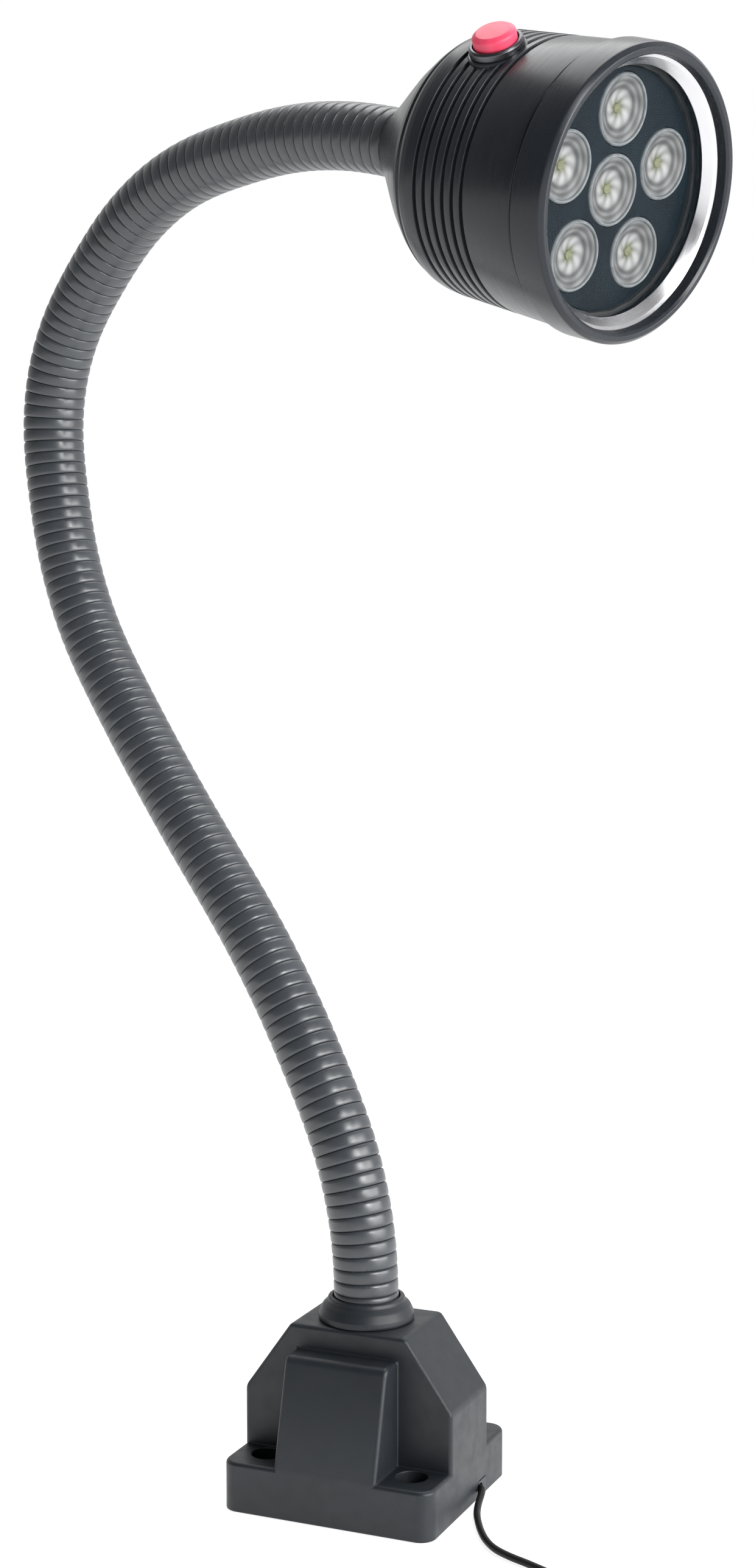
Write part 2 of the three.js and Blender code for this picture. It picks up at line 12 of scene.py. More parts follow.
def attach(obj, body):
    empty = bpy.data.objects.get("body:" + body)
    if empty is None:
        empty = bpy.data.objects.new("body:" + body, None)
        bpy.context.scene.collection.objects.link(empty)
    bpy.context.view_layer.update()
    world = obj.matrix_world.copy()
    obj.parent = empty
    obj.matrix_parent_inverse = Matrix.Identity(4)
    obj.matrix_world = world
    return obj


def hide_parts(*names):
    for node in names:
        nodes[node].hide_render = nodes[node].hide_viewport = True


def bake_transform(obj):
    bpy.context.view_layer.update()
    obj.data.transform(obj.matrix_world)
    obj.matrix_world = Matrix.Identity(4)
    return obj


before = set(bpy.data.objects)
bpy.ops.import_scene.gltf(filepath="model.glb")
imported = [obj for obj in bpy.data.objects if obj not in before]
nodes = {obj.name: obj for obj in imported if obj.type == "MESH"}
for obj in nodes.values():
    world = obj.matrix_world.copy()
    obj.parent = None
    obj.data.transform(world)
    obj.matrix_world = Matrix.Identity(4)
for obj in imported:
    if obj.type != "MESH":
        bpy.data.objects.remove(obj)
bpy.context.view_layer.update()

MM = 0.001

# ---------------------------------------------------------------- driving dimensions

FIT_GAP = 0.3

BASE_WIDTH = 69
BASE_DEPTH = 64.3
BASE_HEIGHT = 55.5
FLANGE_HEIGHT = 15.5
FLANGE_CORNER = 5
BODY_DEPTH = 30.1
BODY_TOP_WIDTH = 38.2
SHOULDER_HEIGHT = 33.8
WALL = 3
TONGUE_WIDTH = 33.6
HOLE_X = 24
HOLE_Y = 21
HOLE_RADIUS = 2.4
HOLE_HEAD_RADIUS = 4.8
HOLE_FLOOR = 8
COLUMN_RADIUS = 7.6
BOSS_X = 12
BOSS_Y = 26.2
BOSS_RADIUS = 3.2
COVER_THICKNESS = 2.2
NOTCH_Y = 10.4
NOTCH_WIDTH = 7.2
NOTCH_HEIGHT = 5.6

NECK_START = 56
NECK_YAW = math.radians(-20)
SEGMENT = 75.2
STRAIGHT_END = 8
NECK_TURNS = [math.radians(turn) for turn in (31.3, 11.4, -4.5, -28.6, -53.6, -38.3, -22)]
RIB_PITCH = 4
RIB_ROOT = 9.1
RIB_CREST = 10.05
NECK_SKIN_START = 1.2
NECK_SKIN_END = 529.2

HEAD_OVERLAP = 10
CAP_START = 9.4
CAP_END = 41
BODY_END = 86.5
RIM_END = 98.4
BARREL_REAR = 37
BARREL_FRONT = 39.1
BEZEL_RADIUS = 40.3
FIN_FIRST = 49.4
FIN_PITCH = 3.66
FIN_COUNT = 6
FIN_WIDTH = 1.5
FIN_DEPTH = 1.2
LENS_RADIUS = 9.8
LENS_PITCH_RADIUS = 21.4
LENS_TURN = math.radians(6.5)
LENS_FRONT = 88.4
# Strength of the painted light and shade in the lens faces.
LENS_PAINTED_BRIGHTNESS = 0.42
BUTTON_ALONG = 57.5
BUTTON_TURN = math.radians(36)
BUTTON_RADIUS = 6.15

CORD_DIAMETER = 2.2
COIL_X = 97
COIL_Y = -77

# ---------------------------------------------------------------- camera


def add_camera():
    data = bpy.data.cameras.new("camera")
    data.lens = 58.42
    data.sensor_width = 36
    data.clip_start = 0.01
    data.clip_end = 50
    camera = bpy.data.objects.new("camera", data)
    camera.location = (0.30821, -0.70119, 0.30162)
    camera.rotation_euler = (math.radians(90 - 5.986), 0, math.radians(23.475))
    bpy.context.scene.collection.objects.link(camera)
    bpy.context.scene.camera = camera


add_camera()

# ---------------------------------------------------------------- materials


class Shader:
    """One node material: short calls to add nodes and join them."""

    def __init__(self, name, color, roughness, metallic=0.0, specular=0.5):
        self.material = bpy.data.materials.new(name)
        self.material.use_nodes = True
        self.material.diffuse_color = (*color, 1)
        self.tree = self.material.node_tree
        self.surface = self.tree.nodes["Principled BSDF"]
        self.put("Base Color", (*color, 1))
        self.put("Roughness", roughness)
        self.put("Metallic", metallic)
        self.put("Specular IOR Level", specular)
        self.place = self.add("ShaderNodeTexCoord").outputs["Object"]

    def put(self, socket, value):
        self.surface.inputs[socket].default_value = value

    def add(self, kind, **settings):
        node = self.tree.nodes.new(kind)
        for key, value in settings.items():
            if key in node.inputs:
                node.inputs[key].default_value = value
            else:
                setattr(node, key, value)
        return node

    def join(self, source, target):
        self.tree.links.new(source, target)

    def noise(self, scale, detail=3.0, stretch=None, place=None):
        node = self.add("ShaderNodeTexNoise", Scale=scale, Detail=detail)
        source = place or self.place
        if stretch:
            mapping = self.add("ShaderNodeMapping")
            mapping.inputs["Scale"].default_value = stretch
            self.join(source, mapping.inputs["Vector"])
            source = mapping.outputs["Vector"]
        self.join(source, node.inputs["Vector"])
        return node.outputs["Fac"]

    def spread(self, source, low, high, from_low=0.3, from_high=0.7):
        node = self.add("ShaderNodeMapRange")
        node.inputs["From Min"].default_value = from_low
        node.inputs["From Max"].default_value = from_high
        node.inputs["To Min"].default_value = low
        node.inputs["To Max"].default_value = high
        self.join(source, node.inputs["Value"])
        return node.outputs["Result"]

    def mix(self, factor, first, second):
        node = self.add("ShaderNodeMix", data_type="RGBA")
        self.join(factor, node.inputs["Factor"])
        for key, value in (("A", first), ("B", second)):
            socket = [s for s in node.inputs if s.name == key and s.type == "RGBA"][0]
            if isinstance(value, tuple):
                socket.default_value = (*value, 1)
            else:
                self.join(value, socket)
        return [s for s in node.outputs if s.type == "RGBA"][0]

    def bump(self, height, distance, strength=1.0):
        node = self.add("ShaderNodeBump", Strength=strength, Distance=distance)
        self.join(height, node.inputs["Height"])
        previous = self.surface.inputs["Normal"]
        if previous.is_linked:
            self.join(previous.links[0].from_socket, node.inputs["Normal"])
        self.join(node.outputs["Normal"], previous)

    def drive(self, socket, source):
        self.join(source, self.surface.inputs[socket])


def painted_edge_highlight(shader, amount_low=0.53, amount_high=0.62):
    """A mask that is 1 on convex edges, from how far the surface points away from its neighbours; it lightens
    them as a painted edge highlight.
    """
    geometry = shader.add("ShaderNodeNewGeometry")
    return shader.spread(geometry.outputs["Pointiness"], 0, 1, amount_low, amount_high)


def moulded_plastic(name, color, lighter, roughness, grain=0.00002):
    shader = Shader(name, color, roughness)
    clouds = shader.noise(38, 4)
    edges = painted_edge_highlight(shader)
    toned = shader.mix(shader.spread(clouds, 0, 1), color, lighter)
    # Convex edges mixed a third lighter: a painted edge highlight.
    shader.drive("Base Color", shader.mix(edges, toned, tuple(min(1, c * 1.35) for c in lighter)))
    shader.drive("Roughness", shader.spread(shader.noise(220, 5), roughness - 0.05, roughness + 0.07))
    shader.bump(shader.noise(3200, 2), grain, 0.6)
    shader.bump(shader.noise(90, 2), 0.00006, 0.25)
    return shader.material


def flexible_plastic(name, color, lighter, roughness, specular=0.5):
    shader = Shader(name, color, roughness, 0.0, specular)
    clouds = shader.noise(60, 4)
    shader.drive("Base Color", shader.mix(shader.spread(clouds, 0, 1), color, lighter))
    shader.drive("Roughness", shader.spread(shader.noise(420, 4), roughness - 0.05, roughness + 0.06))
    shader.bump(shader.noise(2600, 3), 0.000015, 0.5)
    return shader.material


def turned_metal(name, color, lighter, roughness, metallic, specular=0.5):
    """Lathe-turned metal: fine rings that run round the head's own axis."""
    shader = Shader(name, color, roughness, metallic, specular)
    rings = shader.add("ShaderNodeTexWave", wave_type="BANDS", bands_direction="Z", Scale=1500,
        Distortion=1.2)
    shader.join(head_place(shader), rings.inputs["Vector"])
    ring_fac = rings.outputs["Fac"]
    blotches = shader.noise(45, 4)
    shader.drive("Base Color", shader.mix(shader.spread(blotches, 0, 1), color, lighter))
    streaks = shader.noise(120, 4, (1, 1, 9), head_place(shader))
    shader.drive("Roughness", shader.spread(streaks, roughness - 0.035, roughness + 0.05))
    shader.bump(ring_fac, 0.000004, 0.35)
    return shader.material


def head_place(shader):
    """Object coordinates turned into the head's own frame, with Z along the head's axis."""
    mapping = shader.add("ShaderNodeMapping", vector_type="TEXTURE")
    mapping.inputs["Location"].default_value = head_matrix.translation * MM
    mapping.inputs["Rotation"].default_value = head_matrix.to_euler()
    shader.join(shader.place, mapping.inputs["Vector"])
    return mapping.outputs["Vector"]


def plain_metal(name, color, roughness):
    shader = Shader(name, color, roughness, 1.0)
    scratches = shader.noise(300, 5, (1, 1, 14))
    shader.drive("Roughness", shader.spread(scratches, roughness - 0.06, roughness + 0.1))
    darker = tuple(c * 0.86 for c in color)
    shader.drive("Base Color", shader.mix(shader.spread(shader.noise(80, 3), 0, 1), darker, color))
    return shader.material


# ---------------------------------------------------------------- mesh helpers


def new_object(name, data):
    obj = bpy.data.objects.new(name, data)
    bpy.context.scene.collection.objects.link(obj)
    return obj


def finish_mesh(name, mesh_data, material, sharp=35.0):
    mesh = bpy.data.meshes.new(name)
    mesh_data.to_mesh(mesh)
    mesh_data.free()
    mesh.shade_smooth()
    mesh.set_sharp_from_angle(angle=math.radians(sharp))
    if material:
        mesh.materials.append(material)
    return new_object(name, mesh)


def rounded(outline, steps=4):
    """An outline of (a, b) or (a, b, radius) points, with each corner that has a radius rounded off."""
    result = []
    for i, point in enumerate(outline):
        here = Vector(point[:2])
        radius = point[2] if len(point) > 2 else 0
        inside = 0 < i < len(outline) - 1
        if radius <= 0 or not inside:
            result.append(here)
            continue
        before = Vector(outline[i - 1][:2]) - here
        after = Vector(outline[i + 1][:2]) - here
        angle = before.angle(after)
        reach = radius / math.tan(angle / 2)
        reach = min(reach, before.length * 0.49, after.length * 0.49)
        start = here + before.normalized() * reach
        end = here + after.normalized() * reach
        for k in range(steps + 1):
            t = k / steps
            result.append(start * (1 - t) ** 2 + here * 2 * t * (1 - t) + end * t * t)
    return result


def lathe(name, outline, material, place=Matrix.Identity(4), sides=96, closed=True, sharp=35.0):
    """Turns an outline of (radius, height, rounding) points about Z and puts it in place."""
    points = rounded(list(outline) + ([outline[0]] if closed else []))
    if closed:
        points.pop()
    mesh_data = bmesh.new()
    rings = []
    for point in points:
        if point.x < 1e-6:
            rings.append([mesh_data.verts.new((0, 0, point.y))])
            continue
        ring = []
        for i in range(sides):
            angle = 2 * math.pi * i / sides
            ring.append(mesh_data.verts.new((point.x * math.cos(angle), point.x * math.sin(angle), point.y)))
        rings.append(ring)
    pairs = list(zip(rings, rings[1:] + rings[:1])) if closed else list(zip(rings, rings[1:]))
    for low, high in pairs:
        if len(low) == 1 and len(high) == 1:
            continue
        for i in range(sides):
            j = (i + 1) % sides
            if len(low) == 1:
                mesh_data.faces.new((low[0], high[j], high[i]))
            elif len(high) == 1:
                mesh_data.faces.new((low[i], low[j], high[0]))
            else:
                mesh_data.faces.new((low[i], low[j], high[j], high[i]))
    bmesh.ops.remove_doubles(mesh_data, verts=mesh_data.verts, dist=1e-5)
    bmesh.ops.recalc_face_normals(mesh_data, faces=mesh_data.faces)
    bmesh.ops.transform(mesh_data, matrix=Matrix.Scale(MM, 4) @ place, verts=mesh_data.verts)
    return finish_mesh(name, mesh_data, material, sharp)


def prism(points, low, high, axis):
    """A scratch solid: a polygon pushed along X, Y or Z, in millimetres."""
    spots = {
        "X": lambda p, h: (h, p[0], p[1]),
        "Y": lambda p, h: (p[0], h, p[1]),
        "Z": lambda p, h: (p[0], p[1], h),
    }[axis]
    mesh_data = bmesh.new()
    ends = [[mesh_data.verts.new(spots(p, h)) for p in points] for h in (low, high)]
    mesh_data.faces.new(ends[0])
    mesh_data.faces.new(ends[1][::-1])
    for i in range(len(points)):
        j = (i + 1) % len(points)
        mesh_data.faces.new((ends[0][i], ends[1][i], ends[1][j], ends[0][j]))
    bmesh.ops.recalc_face_normals(mesh_data, faces=mesh_data.faces)
    return finish_mesh("scratch", mesh_data, None)


def circle(radius, x=0.0, y=0.0, sides=48):
    return [
        (x + radius * math.cos(2 * math.pi * i / sides), y + radius * math.sin(2 * math.pi * i / sides))
        for i in range(sides)
    ]


def rectangle(width, depth, x=0.0, y=0.0):
    return [
        (x - width / 2, y - depth / 2),
        (x + width / 2, y - depth / 2),
        (x + width / 2, y + depth / 2),
        (x - width / 2, y + depth / 2),
    ]


def rounded_rectangle(width, depth, radius, steps=10):
    points = []
    for corner, (way_x, way_y) in enumerate(((1, 1), (-1, 1), (-1, -1), (1, -1))):
        for i in range(steps + 1):
            angle = math.pi / 2 * (corner + i / steps)
            points.append((
                way_x * (width / 2 - radius) + radius * math.cos(angle),
                way_y * (depth / 2 - radius) + radius * math.sin(angle),
            ))
    return points


def evaluated(obj):
    """Gives an object the mesh that its modifiers make."""
    graph = bpy.context.evaluated_depsgraph_get()
    mesh = bpy.data.meshes.new_from_object(obj.evaluated_get(graph))
    obj.modifiers.clear()
    obj.data = mesh
    return obj


def carve(target, others, operation):
    for other in others:
        modifier = target.modifiers.new("carve", "BOOLEAN")
        modifier.operation = operation
        modifier.solver = "EXACT"
        modifier.object = other
    evaluated(target)
    for other in others:
        bpy.data.objects.remove(other)
    return target


# ---------------------------------------------------------------- neck centreline

NECK_PLANE = Vector((math.cos(NECK_YAW), math.sin(NECK_YAW), 0))
UP = Vector((0, 0, 1))
NECK_SIDE = UP.cross(NECK_PLANE)


def heading(angle):
    return NECK_PLANE * math.cos(angle) + UP * math.sin(angle)


def neck_angle(along):
    """The neck's heading at a distance along it: straight ends and an even turn in each segment."""
    angle = math.pi / 2
    for index, turn in enumerate(NECK_TURNS):
        start = index * SEGMENT + STRAIGHT_END
        share = (along - start) / (SEGMENT - 2 * STRAIGHT_END)
        angle += turn * max(0.0, min(1.0, share))
    return angle


def neck_points(step=1.0, blur=0.0):
    """Points every millimetre along the neck. A blur evens out where the turn changes."""
    points = [Vector((0, 0, NECK_START))]
    count = round(len(NECK_TURNS) * SEGMENT / step)
    for i in range(count):
        middle = (i + 0.5) * step
        if blur:
            angle = sum(neck_angle(middle + blur * k / 4) for k in range(-4, 5)) / 9
        else:
            angle = neck_angle(middle)
        points.append(points[-1] + heading(angle) * step)
    return points


true_points = neck_points()
soft_points = neck_points(blur=11.0)
drift = true_points[-1] - soft_points[-1]
for i, point in enumerate(soft_points):
    point += drift * (i / (len(soft_points) - 1))


def neck_spot(along):
    """The point on the neck's centreline and its heading, at a distance in millimetres."""
    last = len(soft_points) - 1
    inside = max(0.0, min(float(last), along))
    index = min(int(inside), last - 1)
    first, second = soft_points[index], soft_points[index + 1]
    direction = (second - first).normalized()
    point = first.lerp(second, inside - index) + direction * (along - inside)
    return point, direction


neck_end = true_points[-1]
head_axis = heading(math.pi / 2 + sum(NECK_TURNS))
head_up = heading(math.pi + sum(NECK_TURNS))
head_side = head_axis.cross(head_up)
head_matrix = Matrix((head_up, head_side, head_axis)).transposed().to_4x4()
head_matrix.translation = neck_end - head_axis * HEAD_OVERLAP

# ---------------------------------------------------------------- finishes

base_plastic = moulded_plastic("base_plastic", (0.0105, 0.0135, 0.0175), (0.0145, 0.018, 0.023), 0.46)
sleeve_plastic = flexible_plastic("sleeve_plastic", (0.036, 0.041, 0.047), (0.044, 0.049, 0.056), 0.32, 0.75)
cord_plastic = flexible_plastic("cord_plastic", (0.006, 0.006, 0.007), (0.010, 0.010, 0.011), 0.46, 0.25)
black_rubber = moulded_plastic("black_rubber", (0.016, 0.016, 0.017), (0.022, 0.022, 0.023), 0.6)
white_plastic = moulded_plastic("white_plastic", (0.7, 0.7, 0.67), (0.76, 0.76, 0.73), 0.45)
anodised = turned_metal("anodised", (0.014, 0.017, 0.021), (0.017, 0.020, 0.025), 0.27, 0.0, 0.36)
bright_bevel = turned_metal("bright_bevel", (0.62, 0.62, 0.64), (0.70, 0.70, 0.72), 0.24, 1.0)
satin_steel = plain_metal("satin_steel", (0.58, 0.58, 0.60), 0.3)
bright_steel = plain_metal("bright_steel", (0.74, 0.74, 0.76), 0.2)
dark_steel = plain_metal("dark_steel", (0.12, 0.12, 0.13), 0.3)
brass = plain_metal("brass", (0.70, 0.54, 0.24), 0.3)

# ---------------------------------------------------------------- cord

CORD_ROUTE = [
    (34.5, 8.6, 3.2),
    (34.8, 8.27, 3.2),
    (35.4, 7.6, 3.15),
    (36, 6.6, 3),
    (36.4, 5, 2.75),
    (36.75, 3.2, 2.35),
    (37.15, 1, 1.85),
    (37.8, -1.6, 1.5),
    (38.8, -4.8, 1.3),
    (40.3, -8.7, 1.3),
    (42.4, -13.1, 1.3),
    (45.4, -18.7, 1.3),
    (49.3, -24.6, 1.3),
    (54, -29.5, 1.3),
    (60, -33, 1.3),
    (67.6, -36.2, 1.3),
    (75.8, -40.3, 1.3),
    (83.8, -45.9, 1.3),
    (90.4, -51.5, 1.5),
    (96.6, -55.8, 2.05),
]
TAIL_ROUTE = [
    (117.9, -82, 1.9),
    (117, -88.8, 1.5),
    (113.4, -95.6, 1.9),
    (107.6, -100.4, 2.8),
    (101.2, -102.6, 3.8),
    (95.3, -103, 4.45),
]
PLUG_START = 95
PLUG_Y = -103
PLUG_HEIGHT = 4.45
COIL_RADII = [18.6, 16.3, 14, 11.7, 9.4]
COIL_HEIGHTS = [2.05, 4.3, 6.55]
COIL_ENTRY = 91
HUMP_HEIGHT = 8.8
COIL_OUTSIDE = 20.95


def eased(value, start, end):
    share = max(0.0, min(1.0, (value - start) / (end - start)))
    return share * share * (3 - 2 * share)


def coil_spot(travel):
    """Radius and height of the cord after so many degrees round the coil.

    It winds inward on the floor, outward on the second layer and inward on the third, then
    climbs over the turns and comes down outside them."""
    turn = 360
    radius = COIL_OUTSIDE - eased(travel, 0, 40) * (COIL_OUTSIDE - COIL_RADII[0])
    height = COIL_HEIGHTS[0]
    gap = COIL_RADII[0] - COIL_RADII[1]
    layer = len(COIL_RADII)
    for k in range(1, layer):
        radius -= eased(travel, turn * k, turn * k + 40) * gap
    height += eased(travel, turn * layer - 40, turn * layer) * (COIL_HEIGHTS[1] - COIL_HEIGHTS[0])
    for k in range(layer + 1, 2 * layer):
        radius += eased(travel, turn * k - 80, turn * k - 40) * gap
    climb = turn * 2 * layer - 120
    height += eased(travel, climb, climb + 40) * (COIL_HEIGHTS[2] - COIL_HEIGHTS[1])
    for k in range(2 * layer + 1, 3 * layer):
        radius -= eased(travel, turn * k - 160, turn * k - 120) * gap
    over = turn * 3 * layer - 200
    height += eased(travel, over, over + 40) * (HUMP_HEIGHT - COIL_HEIGHTS[2])
    radius += eased(travel, over + 50, over + 200) * (COIL_OUTSIDE - COIL_RADII[-1])
    height -= eased(travel, over + 190, COIL_END) * (HUMP_HEIGHT - 2.6)
    return radius, height


COIL_TURNS = 14
COIL_LAST_ARC = 412
COIL_END = 360 * COIL_TURNS + COIL_LAST_ARC


def smooth_path(points, spacing=1.2):
    """Points at an even spacing on a curve that passes through the given points."""
    spots = [Vector(p) for p in points]
    spots = [spots[0] * 2 - spots[1]] + spots + [spots[-1] * 2 - spots[-2]]
    result = []
    for i in range(1, len(spots) - 2):
        before, here, after, beyond = spots[i - 1:i + 3]
        count = max(1, round((after - here).length / spacing))
        for k in range(count):
            t = k / count
            slope_here = (after - before) / 2
            slope_after = (beyond - here) / 2
            result.append(
                here * (2 * t**3 - 3 * t**2 + 1)
                + slope_here * (t**3 - 2 * t**2 + t)
                + after * (3 * t**2 - 2 * t**3)
                + slope_after * (t**3 - t**2)
            )
    result.append(spots[-2])
    return result


def coil_points():
    points = []
    travel = 6
    while travel < COIL_END - 6:
        radius, height = coil_spot(travel)
        angle = math.radians(COIL_ENTRY - travel)
        points.append((COIL_X + radius * math.cos(angle), COIL_Y + radius * math.sin(angle), height))
        travel += 12
    return points


def build_cord():
    line = smooth_path(CORD_ROUTE + coil_points() + TAIL_ROUTE)
    data = bpy.data.curves.new("supply_cord_piece", "CURVE")
    data.dimensions = "3D"
    data.bevel_depth = CORD_DIAMETER / 2 * MM
    data.bevel_resolution = 4
    data.use_fill_caps = True
    spline = data.splines.new("POLY")
    spline.points.add(len(line) - 1)
    for point, spot in zip(spline.points, line):
        point.co = (*(spot * MM), 1)
    data.materials.append(cord_plastic)
    cord = new_object("supply_cord_piece", data)
    length = sum((b - a).length for a, b in zip(line, line[1:])) * MM
    return cord, length


def at_plug():
    return Matrix.Translation((PLUG_START, PLUG_Y, PLUG_HEIGHT)) @ Matrix.Rotation(-math.pi / 2, 4, "Y")


def build_plug():
    outline = [(0, 0), (1.5, 0, 0.3), (1.9, 0.6), (2.3, 4), (2.9, 11.4, 0.8), (4.1, 12.3, 0.8),
        (4.35, 13.4, 0.6)]
    for k in range(6):
        low = 15 + k * 2
        outline += [(4.35, low, 0.2), (4.05, low + 0.4, 0.2), (4.05, low + 1.0, 0.2), (4.35, low + 1.4, 0.2)]
    outline += [(4.35, 28.2, 0.5), (3.9, 28.8, 0.2), (0, 28.8)]
    body = lathe("plug_body_piece", outline, black_rubber, at_plug(), 48, closed=False)
    low = 28.8 + FIT_GAP
    barrel_outline = [(0, low), (2.75, low, 0.2), (2.75, low + 9.5, 0.3), (1.25, low + 9.5, 0.2),
                      (1.25, low + 2), (0, low + 2)]
    barrel = lathe("plug_barrel_piece", barrel_outline, bright_steel, at_plug(), 40, closed=False)
    return body, barrel


def build_tie():
    """A flat strap round the turns of the coil."""
    low, high = 0.65, 7.95
    inner, outer = 7.4, 20
    strap = 0.6
    middle = (inner + outer) / 2
    half = (outer - inner) / 2
    band = prism(rounded_rectangle(2 * (half + strap), high - low + 2 * strap, 1.4, 6), -2.5, 2.5, "Y")
    opening = prism(rounded_rectangle(2 * half, high - low, 0.9, 6), -4, 4, "Y")
    carve(band, [opening], "DIFFERENCE")
    band.name = "cord_tie_piece"
    turn = Matrix.Rotation(math.radians(-60), 4, "Z")
    place = Matrix.Translation((COIL_X, COIL_Y, 0)) @ turn @ Matrix.Translation((middle, 0, (low + high) / 2))
    band.data.transform(Matrix.Scale(MM, 4) @ place)
    band.data.materials.append(black_rubber)
    bevel_weld(band, 0.15)
    return band


def bevel_weld(obj, width):
    modifier = obj.modifiers.new("edges", "BEVEL")
    modifier.width = width * MM
    modifier.segments = 2
    modifier.limit_method = "ANGLE"
    modifier.angle_limit = math.radians(40)
    evaluated(obj)
    obj.data.shade_smooth()
    obj.data.set_sharp_from_angle(angle=math.radians(50))


supply_cord, cord_length = build_cord()
plug_body, plug_barrel = build_plug()
cord_tie = build_tie()
for piece in (supply_cord, plug_body, plug_barrel, cord_tie):
    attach(piece, "base")
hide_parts("supply_cord", "supply_cord_coil", "supply_cord_tail")
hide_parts("plug_body")
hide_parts("plug_barrel")
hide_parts("cord_tie")

# ---------------------------------------------------------------- base


def base_outer():
    half = BASE_WIDTH / 2
    top = BODY_TOP_WIDTH / 2
    front = BASE_DEPTH / 2
    body = [(-half, 0), (half, 0), (half, SHOULDER_HEIGHT), (top, BASE_HEIGHT), (-top, BASE_HEIGHT),
            (-half, SHOULDER_HEIGHT)]
    tongue = [(-front, 0), (front, 0), (front, 16), (24.2, 46), (22.8, 48.2), (-22.8, 48.2), (-24.2, 46),
              (-front, 16)]
    shell = prism(rounded_rectangle(BASE_WIDTH, BASE_DEPTH, FLANGE_CORNER), 0, FLANGE_HEIGHT, "Z")
    carve(shell, [
        prism(body, -BODY_DEPTH / 2, BODY_DEPTH / 2, "Y"),
        prism(tongue, -TONGUE_WIDTH / 2, TONGUE_WIDTH / 2, "X"),
    ], "UNION")
    bores = []
    for way_x in (1, -1):
        for way_y in (1, -1):
            spot = (HOLE_X * way_x, HOLE_Y * way_y)
            bores.append(prism(circle(HOLE_HEAD_RADIUS, *spot), HOLE_FLOOR, BASE_HEIGHT, "Z"))
            bores.append(prism(circle(HOLE_RADIUS, *spot), -1, HOLE_FLOOR + 1, "Z"))
    return carve(shell, bores, "DIFFERENCE")


def edge_rounding(edge):
    """How far an outside edge of the base is rounded off, in millimetres."""
    middle = (edge.verts[0].co + edge.verts[1].co) / 2
    if len(edge.link_faces) != 2 or edge.calc_face_angle(0) < math.radians(18):
        return 0
    if middle.z < 0.2:
        return 0.4
    near_hole = math.hypot(abs(middle.x) - HOLE_X, abs(middle.y) - HOLE_Y) < HOLE_HEAD_RADIUS + 0.2
    if near_hole:
        return 0.35
    concave = not edge.is_convex
    if concave:
        return 0.5
    return 1.3


def base_housing():
    shell = base_outer()
    mesh_data = bmesh.new()
    mesh_data.from_mesh(shell.data)
    bmesh.ops.remove_doubles(mesh_data, verts=mesh_data.verts, dist=1e-3)
    bmesh.ops.dissolve_limit(
        mesh_data, angle_limit=math.radians(0.5), verts=mesh_data.verts, edges=mesh_data.edges,
    )
    weights = mesh_data.edges.layers.float.new("bevel_weight_edge")
    widest = 1.4
    for edge in mesh_data.edges:
        edge[weights] = edge_rounding(edge) / widest
    mesh_data.to_mesh(shell.data)
    mesh_data.free()
    bevel = shell.modifiers.new("edges", "BEVEL")
    bevel.limit_method = "WEIGHT"
    bevel.width = widest
    bevel.segments = 4
    bevel.use_clamp_overlap = False
    evaluated(shell)

    half = BASE_WIDTH / 2
    top = BODY_TOP_WIDTH / 2
    front = BASE_DEPTH / 2
    inner_top = top - WALL / 2
    hollow_body = [(-half + WALL, -1), (half - WALL, -1), (half - WALL, SHOULDER_HEIGHT - WALL / 2),
                   (inner_top, BASE_HEIGHT - WALL), (-inner_top, BASE_HEIGHT - WALL),
                   (-half + WALL, SHOULDER_HEIGHT - WALL / 2)]
    hollow_tongue = [(-front + WALL, -1), (front - WALL, -1), (front - WALL, 16), (21.2, 43), (20.4, 44.8),
                     (-20.4, 44.8), (-21.2, 43), (-front + WALL, 16)]
    hollow = prism(rectangle(BASE_WIDTH - 2 * WALL, BASE_DEPTH - 2 * WALL), -1, FLANGE_HEIGHT - WALL, "Z")
    inner_half = BODY_DEPTH / 2 - WALL
    carve(hollow, [
        prism(hollow_body, -inner_half, inner_half, "Y"),
        prism(hollow_tongue, -TONGUE_WIDTH / 2 + WALL, TONGUE_WIDTH / 2 - WALL, "X"),
    ], "UNION")
    columns = []
    for way_x in (1, -1):
        for way_y in (1, -1):
            columns.append(prism(circle(COLUMN_RADIUS, HOLE_X * way_x, HOLE_Y * way_y), -2, 14, "Z"))
            spot = (BOSS_X * way_x, BOSS_Y * way_y)
            columns.append(prism(circle(BOSS_RADIUS, *spot, 32), COVER_THICKNESS + FIT_GAP, 22, "Z"))
    carve(hollow, columns, "DIFFERENCE")
    neck_hole = prism(circle(9.2), BASE_HEIGHT - 6, BASE_HEIGHT + 1, "Z")
    notch = prism(
        rounded_rectangle(NOTCH_WIDTH, 2 * NOTCH_HEIGHT, 1.6, 6), half - 5.5, half + 3.5, "X",
    )
    notch.data.transform(Matrix.Translation((0, NOTCH_Y, 0)))
    screw_bores = []
    for way_x in (1, -1):
        for way_y in (1, -1):
            spot = (BOSS_X * way_x, BOSS_Y * way_y)
            screw_bores.append(prism(circle(1.4, *spot, 20), -1, 12, "Z"))
    carve(shell, [hollow, neck_hole, notch] + screw_bores, "DIFFERENCE")
    shell.name = "base_housing_piece"
    shell.data.transform(Matrix.Scale(MM, 4))
    shell.data.materials.clear()
    shell.data.materials.append(base_plastic)
    shell.data.shade_smooth()
    shell.data.set_sharp_from_angle(angle=math.radians(32))
    normals = shell.modifiers.new("normals", "WEIGHTED_NORMAL")
    normals.keep_sharp = True
    return evaluated(shell)


def neck_collar():
    foot = BASE_HEIGHT + FIT_GAP
    outline = [(10.5, foot), (14.7, foot), (14.8, foot + 0.5, 0.4), (14.7, foot + 1.8, 1.2),
        (13.6, foot + 4.2, 2.4),
               (12.1, foot + 5.6, 1.4), (11.8, foot + 6.7, 0.5), (10.5, foot + 7, 0.2)]
    return lathe("neck_collar_piece", outline, base_plastic, sides=80)


housing = base_housing()
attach(housing, "base")
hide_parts("base_housing")
collar = neck_collar()
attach(collar, "base")
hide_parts("neck_collar")

